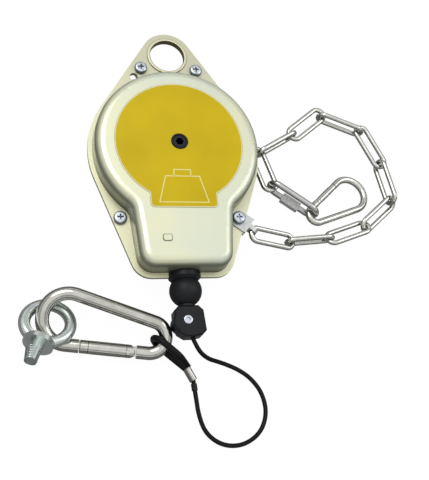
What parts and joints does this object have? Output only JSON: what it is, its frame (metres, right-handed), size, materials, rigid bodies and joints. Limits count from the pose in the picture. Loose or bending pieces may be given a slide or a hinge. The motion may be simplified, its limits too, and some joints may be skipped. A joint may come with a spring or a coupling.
{
  "type": "tool balancer",
  "caption": "Spring balancer for a hand tool: drawn steel housing with hanging eye, rope drum and flat spiral spring inside, rope with buffer and carabiner, and a safety chain with hooks",
  "frame": {"origin": "on the drum axis, at the flat back face of the rear cover, where it lies on the floor", "axes": "+Z out of the front cover towards the label and the adjuster, +Y towards the hanging eye, +X to the side that carries the safety chain; the rope leaves along -Y"},
  "size_m": [0.2797, 0.2991, 0.0386],
  "materials": {
    "zinc_yellow": "zinc plated with a pale yellow tint, semi gloss",
    "label_foil": "printed polyester foil",
    "zinc_hardware": "bright zinc plated",
    "black_polymer": "moulded, satin",
    "black_rubber": "smooth",
    "clamp_polymer": "moulded, satin",
    "rope_cover": "black sleeved wire rope",
    "ferrule": "shrink sleeved crimp",
    "black_lacquer": "black lacquered eyelet",
    "bearing_polymer": "natural bearing polymer",
    "arbor_steel": "turned steel",
    "spring_steel": "blue tempered strip",
    "drum_polymer": "moulded, glass filled",
    "nipple_alloy": "swaged",
    "zinc_carabiner": "bright zinc plated",
    "zinc_eye_bolt": "blue-white zinc plated",
    "zinc_chain": "bright zinc plated",
    "zinc_snap": "bright zinc plated"
  },
  "bodies": {
    "housing": {"front_cover": "zinc_yellow", "rear_cover": "zinc_yellow", "label_plate": "label_foil", "cover_screws": "zinc_hardware", "cover_nuts": "zinc_hardware", "eye_bush": "black_lacquer", "chain_bracket": "zinc_hardware", "rope_nozzle": "black_polymer", "adjuster_bush": "black_polymer", "rear_bush": "bearing_polymer", "ratchet_pawl": "spring_steel", "pawl_rivets": "zinc_hardware", "rope_run": "rope_cover"},
    "drum": {"rope_drum": "drum_polymer", "drum_bush": "bearing_polymer", "drum_cover": "drum_polymer", "drum_cover_screws": "zinc_hardware", "rope_wound": "rope_cover", "rope_nipple": "nipple_alloy", "main_spring": "spring_steel"},
    "arbor": {"spring_arbor": "arbor_steel", "ratchet_wheel": "arbor_steel", "arbor_circlip": "arbor_steel", "thrust_washer": "bearing_polymer"},
    "rope_end": {"buffer_ball": "black_rubber", "clamp_front": "clamp_polymer", "clamp_rear": "clamp_polymer", "clamp_screw": "zinc_hardware", "stop_rope": "rope_cover", "rope_loop": "rope_cover", "rope_sleeve": "black_polymer", "rope_ferrule": "ferrule", "rope_eye": "rope_cover"},
    "carabiner": {"carabiner_body": "zinc_carabiner", "carabiner_pin": "zinc_carabiner"},
    "carabiner_gate": {"carabiner_gate": "zinc_carabiner"},
    "eye_bolt": {"eye_bolt": "zinc_eye_bolt"},
    "quick_link": {"quick_link_body": "zinc_chain"},
    "quick_nut": {"quick_link_nut": "zinc_chain"},
    "snap_hook": {"snap_hook_body": "zinc_snap", "snap_hook_pin": "zinc_snap"},
    "snap_gate": {"snap_hook_gate": "zinc_snap"},
    "link_01": {"chain_link_01": "zinc_chain"},
    "link_02": {"chain_link_02": "zinc_chain"},
    "link_03": {"chain_link_03": "zinc_chain"},
    "link_04": {"chain_link_04": "zinc_chain"},
    "link_05": {"chain_link_05": "zinc_chain"},
    "link_06": {"chain_link_06": "zinc_chain"},
    "link_07": {"chain_link_07": "zinc_chain"},
    "link_08": {"chain_link_08": "zinc_chain"},
    "link_09": {"chain_link_09": "zinc_chain"},
    "link_10": {"chain_link_10": "zinc_chain"}
  },
  "joints": [
    {"name": "rope_pull", "type": "slide", "parent": "housing", "child": "rope_end", "axis": [0, -1, 0], "range_m": [0, 1.6], "stiffness_N_per_m": 6.25, "springref_m": -2.24},
    {"name": "drum_spin", "type": "hinge", "parent": "housing", "child": "drum", "pos_m": [0, 0, 0.0185], "axis": [0, 0, 1], "range_deg": [0, 1960], "deforming": ["main_spring"]},
    {"name": "tension_adjust", "type": "hinge", "parent": "housing", "child": "arbor", "pos_m": [0, 0, 0.0185], "axis": [0, 0, 1], "range_deg": [0, 1440], "deforming": ["ratchet_pawl"]},
    {"name": "carabiner_swing", "type": "hinge", "parent": "rope_end", "child": "carabiner", "pos_m": [-0.02454, -0.12967, 0.01177], "axis": [-0.1109, -0.3447, 0.9322], "range_deg": [-4, 30]},
    {"name": "carabiner_gate_open", "type": "hinge", "parent": "carabiner", "child": "carabiner_gate", "pos_m": [-0.03874, -0.1373, 0.00726], "axis": [0.1109, 0.3447, -0.9322], "range_deg": [0, 22], "stiffness_Nm_per_rad": 0.12, "springref_deg": -20.05},
    {"name": "eye_bolt_swing", "type": "hinge", "parent": "carabiner", "child": "eye_bolt", "pos_m": [-0.0763, -0.1158, 0.01074], "axis": [-0.1109, -0.3447, 0.9322], "range_deg": [-15, 15]},
    {"name": "link_01_swing", "type": "hinge", "parent": "housing", "child": "link_01", "pos_m": [0.05103, -0.05766, 0.0185], "axis": [-0.6157, -0.788, 0], "range_deg": [0, 58]},
    {"name": "link_02_swing", "type": "hinge", "parent": "link_01", "child": "link_02", "pos_m": [0.07915, -0.06274, 0.00948], "axis": [-0.3013, 0.0253, -0.9532], "range_deg": [0, 53]},
    {"name": "link_03_swing", "type": "hinge", "parent": "link_02", "child": "link_03", "pos_m": [0.11629, -0.05936, 0.0073], "axis": [0.1117, -0.3915, -0.9134], "range_deg": [0, 56]},
    {"name": "link_04_swing", "type": "hinge", "parent": "link_03", "child": "link_04", "pos_m": [0.14067, -0.05125, 0.0068], "axis": [0.1117, -0.3915, -0.9134], "range_deg": [0, 58]},
    {"name": "link_05_swing", "type": "hinge", "parent": "link_04", "child": "link_05", "pos_m": [0.16554, -0.03215, 0.0068], "axis": [-0.4077, 0.5309, -0.7429], "range_deg": [0, 58]},
    {"name": "link_06_swing", "type": "hinge", "parent": "link_05", "child": "link_06", "pos_m": [0.1633, 0.00373, 0.00669], "axis": [0.0656, 0.0242, 0.9976], "range_deg": [-50, 3]},
    {"name": "link_07_swing", "type": "hinge", "parent": "link_06", "child": "link_07", "pos_m": [0.15293, 0.02724, 0.0068], "axis": [-0.0656, -0.0242, -0.9976], "range_deg": [-3, 4]},
    {"name": "link_08_swing", "type": "hinge", "parent": "link_07", "child": "link_08", "pos_m": [0.11798, 0.04108, 0.0068], "axis": [0, 0, -1], "range_deg": [-9, 1]},
    {"name": "link_09_swing", "type": "hinge", "parent": "link_08", "child": "link_09", "pos_m": [0.09767, 0.02533, 0.0068], "axis": [0, 0, -1], "range_deg": [-13, 3]},
    {"name": "link_10_swing", "type": "hinge", "parent": "link_09", "child": "link_10", "pos_m": [0.06509, 0.00637, 0.00696], "axis": [-0.0229, 0.0939, 0.9953], "range_deg": [-2, 13]},
    {"name": "quick_link_swing", "type": "hinge", "parent": "link_10", "child": "quick_link", "pos_m": [0.07115, -0.01848, 0.00945], "axis": [-0.0229, 0.0939, 0.9953], "range_deg": [-3, 53]},
    {"name": "snap_hook_swing", "type": "hinge", "parent": "quick_link", "child": "snap_hook", "pos_m": [0.10429, -0.04256, 0.0096], "axis": [-0.1178, -0.0708, -0.9905], "range_deg": [-59, 9]},
    {"name": "quick_nut_run", "type": "slide", "parent": "quick_link", "child": "quick_nut", "axis": [0.809, -0.5878, 0.0008], "range_m": [0, 0.006]},
    {"name": "snap_gate_open", "type": "hinge", "parent": "snap_hook", "child": "snap_gate", "pos_m": [0.10828, -0.03098, 0.0083], "axis": [-0.1178, -0.0708, -0.9905], "range_deg": [0, 25], "stiffness_Nm_per_rad": 0.03, "springref_deg": -20.05}
  ],
  "couplings": [
    {"joint": "drum_spin", "follows": "rope_pull", "rad_per_m": 21.277}
  ]
}
